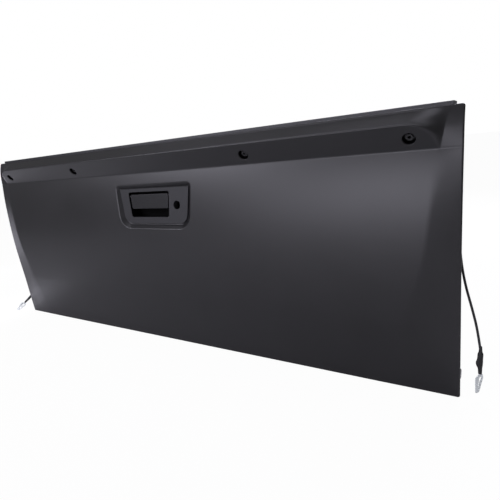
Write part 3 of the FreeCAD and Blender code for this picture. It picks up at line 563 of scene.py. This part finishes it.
# rounded outline of the pocket mouth, as many points with outward normals
def mouthOutline():
    corners = pocket["corners"]
    points = []
    normals = []
    for i, (cx, cz, radius) in enumerate(corners):
        corner = Vector((cx, cz))
        back = (Vector(corners[i - 1][:2]) - corner).normalized()
        ahead = (Vector(corners[(i + 1) % 4][:2]) - corner).normalized()
        half = back.angle(ahead) / 2
        centre = corner + (back + ahead).normalized() * (radius / math.sin(half))
        startNormal = corner + back * (radius / math.tan(half)) - centre
        endNormal = corner + ahead * (radius / math.tan(half)) - centre
        startAngle = math.atan2(startNormal.y, startNormal.x)
        endAngle = math.atan2(endNormal.y, endNormal.x)
        if endAngle < startAngle:
            endAngle += 2 * math.pi
        for step in range(pocket["arcSteps"] + 1):
            angle = startAngle + (endAngle - startAngle) * step / pocket["arcSteps"]
            normal = (math.cos(angle), math.sin(angle))
            points.append((centre.x + radius * normal[0], centre.y + radius * normal[1]))
            normals.append(normal)
    points = np.array(points)
    normals = np.array(normals)
    fullPoints = []
    fullNormals = []
    for i in range(len(points)):
        j = (i + 1) % len(points)
        pieces = max(1, int(np.linalg.norm(points[j] - points[i]) / pocket["mouthStep"]))
        for step in range(pieces):
            t = step / pieces
            fullPoints.append(points[i] * (1 - t) + points[j] * t)
            fullNormals.append(normals[i] * (1 - t) + normals[j] * t)
    return np.array(fullPoints), np.array(fullNormals)


# the whole skin as one grid, with the pocket, the four holes and the hem sewn in as rings of points
def makeSkin():
    halfX = lines(skinGrid["xStops"], skinGrid["xSteps"])
    sideStart = skinGrid["xStops"][-1]
    inward = np.linspace(0, 1, skinGrid["creaseSteps"] + 1)[1:] ** 0.72
    outward = np.linspace(0, 1, skinGrid["stripSteps"] + 1)[1:]
    outward = 0.5 * outward**1.5 + 0.5 * (1 - (1 - outward) ** 1.3)
    rim = np.linspace(0, skinGrid["rim"], skinGrid["rimSteps"] + 1)[1:]
    zLines = lines(skinGrid["zStops"], skinGrid["zSteps"])
    inset = skin["halfWidth"] - skin["hem"]
    rimStart = inset - skinGrid["rim"]
    rows = []
    for z in zLines:
        crease = float(stripCrease(np.array(z)))
        half = np.concatenate([halfX, sideStart + (crease - sideStart) * inward,
                               crease + (rimStart - crease) * outward, rimStart + rim])
        rows.append(np.concatenate([-half[:0:-1], half]))
    gridX = np.array(rows)
    gridZ = np.repeat(zLines[:, None], gridX.shape[1], axis=1)
    # round the four corners by bending each corner square into a quarter disc
    core = skin["corner"] - skin["hem"]
    lowZ = skin["hem"] + core
    highZ = skin["height"] - skin["hem"] - core
    sideShare = np.clip((np.abs(gridX) - (inset - core)) / core, 0, 1)
    endShare = np.clip(np.maximum(lowZ - gridZ, gridZ - highZ) / core, 0, 1)
    signZ = np.where(gridZ < skin["height"] / 2, -1.0, 1.0)
    baseX = np.minimum(np.abs(gridX), inset - core)
    baseZ = np.clip(gridZ, lowZ, highZ)
    gridX = np.sign(gridX) * (baseX + sideShare * np.sqrt(1 - endShare * endShare / 2) * core)
    gridZ = baseZ + signZ * endShare * np.sqrt(1 - sideShare * sideShare / 2) * core
    gridY = skin["edgeY"] - outerDepth(gridX, gridZ)
    rowCount, columnCount = gridX.shape
    points = [np.stack([gridX.ravel(), gridY.ravel(), gridZ.ravel()], axis=1)]
    total = rowCount * columnCount
    index = np.arange(total).reshape(rowCount, columnCount)
    keep = np.ones((rowCount - 1, columnCount - 1), bool)
    faces = []

    def addRing(x, y, z):
        nonlocal total
        points.append(np.stack([x, y, z], axis=1))
        ring = np.arange(total, total + len(x))
        total += len(x)
        return ring

    def joinRings(first, second):
        count = len(first)
        for i in range(count):
            j = (i + 1) % count
            faces.append((int(first[i]), int(first[j]), int(second[j]), int(second[i])))

    def borderLoop(k0, k1, j0, j1):
        return np.concatenate([index[k0, j0:j1], index[k0:k1, j1], index[k1, j1:j0:-1], index[k1:k0:-1, j0]])

    # pocket for the handle
    k0, k1 = (int(np.argmin(np.abs(zLines - v))) for v in (pocket["low"], pocket["high"]))
    j0, j1 = (int(np.argmin(np.abs(gridX[k0] - v))) for v in (-pocket["x"], pocket["x"]))
    keep[k0:k1, j0:j1] = False
    loop = borderLoop(k0, k1, j0, j1)
    outline, outlineNormals = mouthOutline()
    outlineAngles = np.arctan2(outline[:, 1], outline[:, 0])
    loopX = gridX.ravel()[loop]
    loopZ = (gridZ.ravel()[loop] - pocket["z"]) / math.cos(pocket["tilt"])
    loopAngles = np.arctan2(loopZ, loopX)
    turn = np.abs((outlineAngles[None, :] - loopAngles[:, None] + math.pi) % (2 * math.pi) - math.pi)
    nearest = np.argmin(turn, axis=1)
    mouth = outline[nearest]
    normals = outlineNormals[nearest]
    normals = normals / np.linalg.norm(normals, axis=1)[:, None]
    floor = mouth - normals * pocket["spread"]
    previous = loop
    sine = math.sin(pocket["tilt"])
    cosine = math.cos(pocket["tilt"])
    for step in pocket["wallSteps"]:
        x = floor[:, 0] + step * normals[:, 0]
        up = floor[:, 1] + step * normals[:, 1]
        out = softMax(np.zeros(len(x)), np.full(len(x), step / pocket["wallRun"]), pocket["floorRound"])
        wallY = pocket["floorY"] - out * cosine + up * sine
        z = pocket["z"] + up * cosine + out * sine
        faceY = skin["edgeY"] - outerDepth(x, z)
        y = softMax(wallY, faceY, pocket["mouthRound"])
        ring = addRing(x, y, z)
        joinRings(previous, ring)
        previous = ring

    # four fixing holes in the band, square to it
    lean = fixing["lean"]
    k0, k1 = (int(np.argmin(np.abs(zLines - v))) for v in (fixing["low"], fixing["high"]))
    for centre in fixing["xs"]:
        window = gridX[k0:k1 + 1]
        j0 = max(j for j in range(columnCount) if window[:, j].max() < centre - fixing["halfWindow"])
        j1 = min(j for j in range(columnCount) if window[:, j].min() > centre + fixing["halfWindow"])
        keep[k0:k1, j0:j1] = False
        loop = borderLoop(k0, k1, j0, j1)
        loopX = gridX.ravel()[loop] - centre
        loopZ = (gridZ.ravel()[loop] - fixing["z"]) / math.cos(lean)
        angles = np.arctan2(loopZ, loopX)
        previous = loop
        for grow, drop in fixing["rings"]:
            radius = fixing["radius"] + grow
            x = centre + radius * np.cos(angles)
            up = radius * np.sin(angles)
            z = fixing["z"] + up * math.cos(lean)
            y = skin["edgeY"] - outerDepth(x, z)
            ring = addRing(x, y + drop * math.cos(lean), z + drop * math.sin(lean))
            joinRings(previous, ring)
            previous = ring

    corners = np.stack([index[:-1, :-1], index[:-1, 1:], index[1:, 1:], index[1:, :-1]], axis=2)
    faces += [tuple(face) for face in corners[keep].tolist()]

    # hem: the edge rolls round and returns behind
    loop = borderLoop(0, rowCount - 1, 0, columnCount - 1)
    x = gridX.ravel()[loop]
    y = gridY.ravel()[loop]
    z = gridZ.ravel()[loop]
    coreX = np.clip(x, -(inset - core), inset - core)
    coreZ = np.clip(z, lowZ, highZ)
    direction = np.stack([x - coreX, z - coreZ], axis=1)
    length = np.maximum(np.linalg.norm(direction, axis=1), 1e-6)
    direction = direction / length[:, None]
    previous = loop
    for step in range(1, skinGrid["hemSteps"] + 1):
        angle = math.pi / 2 - math.pi * step / skinGrid["hemSteps"]
        reach = skin["hem"] * math.cos(angle)
        back = skin["hem"] * (1 - math.sin(angle))
        ring = addRing(x + direction[:, 0] * reach, y + back, z + direction[:, 1] * reach)
        joinRings(ring, previous)
        previous = ring
    innerHalf = inset - skin["return"]
    innerLow = skin["hem"] + skin["return"]
    innerX = np.clip(x, -innerHalf, innerHalf)
    innerZ = np.clip(z, innerLow, skin["height"] - innerLow)
    ring = addRing(innerX, y + 2 * skin["hem"], innerZ)
    joinRings(ring, previous)

    allPoints = np.concatenate(points) * mm
    obj = meshObject("skin_panel", allPoints, faces, primer)
    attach(obj, "gate")
    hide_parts("outer_skin")
    print("skin panel", len(allPoints), "points", len(faces), "faces")


makeSkin()


# folded flange of the inner panel, standing just above the skin's top edge: its stations are
# (x, how far the fold drops there)
topFlange = {
    "frontY": -21.9,
    "backY": -8.0,
    "footZ": 592.0,
    "topZ": 603.4,
    "lipZ": 602.0,
    "radius": 3.2,
    "steps": 8,
    "stations": [(-771.0, 2.0), (-770.0, 0.8), (-768.5, 0.0), (768.5, 0.0), (770.0, 0.8), (771.0, 2.0)],
}


def makeTopFlange():
    radius = topFlange["radius"]
    foldY = topFlange["frontY"] + radius
    foldZ = topFlange["topZ"] - radius
    profile = [(topFlange["frontY"], topFlange["footZ"]), (topFlange["frontY"], foldZ)]
    for step in range(1, topFlange["steps"]):
        angle = math.pi / 2 * step / topFlange["steps"]
        profile.append((foldY - radius * math.cos(angle), foldZ + radius * math.sin(angle)))
    profile += [(foldY, topFlange["topZ"]), (topFlange["backY"], topFlange["topZ"])]
    profile.append((topFlange["backY"], topFlange["lipZ"]))
    stations = topFlange["stations"]
    points = []
    faces = []
    for x, drop in stations:
        for y, z in profile:
            points.append((x * mm, y * mm, (z - (drop if z > topFlange["footZ"] else 0)) * mm))
    count = len(profile)
    for k in range(len(stations) - 1):
        for i in range(count - 1):
            faces.append((k * count + i, (k + 1) * count + i, (k + 1) * count + i + 1, k * count + i + 1))
    flange = meshObject("top_flange", points, faces, panelPrimer)
    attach(flange, "gate")


makeTopFlange()
print("top flange done")


# studio, in metres and watts: each lamp is (place, target, width, height, power)
studio = {
    "floorHalf": 40.0,
    "floorTone": (0.80, 0.80, 0.80, 1.0),
    "floorWhite": 0.97,
    "floorDim": 0.24,
    "worldDim": 0.12,
    "worldFill": 0.15,
    "lampTone": (0.89, 0.875, 1.0),
}
lamps = {
    "lampHigh": ((-2.0, -2.5, 1.8), (0.0, 0.0, 0.3), 1.2, 0.8, 42.0),
    "lampWide": ((0.0, -2.5, 0.5), (0.2, 0.0, 0.3), 2.0, 0.5, 9.0),
    "lampCentre": ((-0.8, -2.5, 0.8), (0.0, 0.0, 0.3), 1.0, 0.5, 5.0),
    "lampRight": ((0.2, -2.5, 0.8), (0.3, 0.0, 0.3), 0.8, 0.5, 10.5),
    "lampAbove": ((0.0, -0.3, 2.6), (0.0, 0.0, 0.5), 3.0, 1.2, 22.0),
    "lampLeft": ((-1.9, 0.12, 0.22), (-0.8, 0.0, 0.15), 0.4, 0.4, 1.8),
    "lampFloor": ((-0.95, -0.08, 0.13), (-0.94, -0.07, 0.0), 0.16, 0.16, 0.45),
    "lampBack": ((0.5, 2.4, 1.9), (0.0, 0.0, 0.35), 2.4, 1.2, 90.0),
}


# floor that keeps the shadow faintly, is white to the camera and is dimmed in reflections
def makeFloor():
    material = bpy.data.materials.new("paleFloor")
    material.use_nodes = True
    tree = material.node_tree
    shader = tree.nodes["Principled BSDF"]
    shader.inputs["Base Color"].default_value = studio["floorTone"]
    shader.inputs["Roughness"].default_value = 0.9
    shader.inputs["Specular IOR Level"].default_value = 0.1
    output = tree.nodes["Material Output"]
    path = tree.nodes.new("ShaderNodeLightPath")
    glow = tree.nodes.new("ShaderNodeEmission")
    glow.inputs["Color"].default_value = (1, 1, 1, 1)
    tree.links.new(path.outputs["Is Camera Ray"], glow.inputs["Strength"])
    glossy = tree.nodes.new("ShaderNodeMath")
    glossy.operation = "MULTIPLY"
    glossy.inputs[1].default_value = studio["floorDim"]
    tree.links.new(path.outputs["Is Glossy Ray"], glossy.inputs[0])
    share = tree.nodes.new("ShaderNodeMath")
    share.operation = "MULTIPLY_ADD"
    share.inputs[1].default_value = studio["floorWhite"]
    tree.links.new(path.outputs["Is Camera Ray"], share.inputs[0])
    tree.links.new(glossy.outputs[0], share.inputs[2])
    mix = tree.nodes.new("ShaderNodeMixShader")
    tree.links.new(share.outputs[0], mix.inputs[0])
    tree.links.new(shader.outputs[0], mix.inputs[1])
    tree.links.new(glow.outputs[0], mix.inputs[2])
    tree.links.new(mix.outputs[0], output.inputs[0])
    half = studio["floorHalf"]
    floor = meshObject("floor", [(-half, -half, 0), (half, -half, 0), (half, half, 0), (-half, half, 0)],
                       [(0, 1, 2, 3)], material, smooth=False)


# white to the camera, dim in reflections, and a weak fill for the rest
def makeWorld():
    world = bpy.data.worlds.new("world")
    scene.world = world
    world.use_nodes = True
    tree = world.node_tree
    background = tree.nodes["Background"]
    path = tree.nodes.new("ShaderNodeLightPath")
    glossy = tree.nodes.new("ShaderNodeMath")
    glossy.operation = "MAXIMUM"
    tree.links.new(path.outputs["Is Glossy Ray"], glossy.inputs[0])
    tree.links.new(path.outputs["Is Transmission Ray"], glossy.inputs[1])
    dimmed = tree.nodes.new("ShaderNodeMath")
    dimmed.operation = "MULTIPLY"
    dimmed.inputs[1].default_value = studio["worldDim"]
    tree.links.new(glossy.outputs[0], dimmed.inputs[0])
    seen = tree.nodes.new("ShaderNodeMath")
    seen.operation = "MAXIMUM"
    tree.links.new(path.outputs["Is Camera Ray"], seen.inputs[0])
    tree.links.new(dimmed.outputs[0], seen.inputs[1])
    strength = tree.nodes.new("ShaderNodeMath")
    strength.operation = "MAXIMUM"
    strength.inputs[1].default_value = studio["worldFill"]
    tree.links.new(seen.outputs[0], strength.inputs[0])
    background.inputs["Color"].default_value = (1, 1, 1, 1)
    tree.links.new(strength.outputs[0], background.inputs["Strength"])


def makeLamp(name, place, target, width, height, power):
    data = bpy.data.lights.new(name, "AREA")
    data.shape = "RECTANGLE"
    data.size = width
    data.size_y = height
    data.energy = power
    data.color = studio["lampTone"]
    lamp = bpy.data.objects.new(name, data)
    scene.collection.objects.link(lamp)
    lamp.location = place
    lamp.rotation_euler = (Vector(target) - Vector(place)).to_track_quat("-Z", "Y").to_euler()


makeFloor()
makeWorld()
for lampName, lampValues in lamps.items():
    makeLamp(lampName, *lampValues)
print("stage done")

scene.view_settings.view_transform = "Standard"
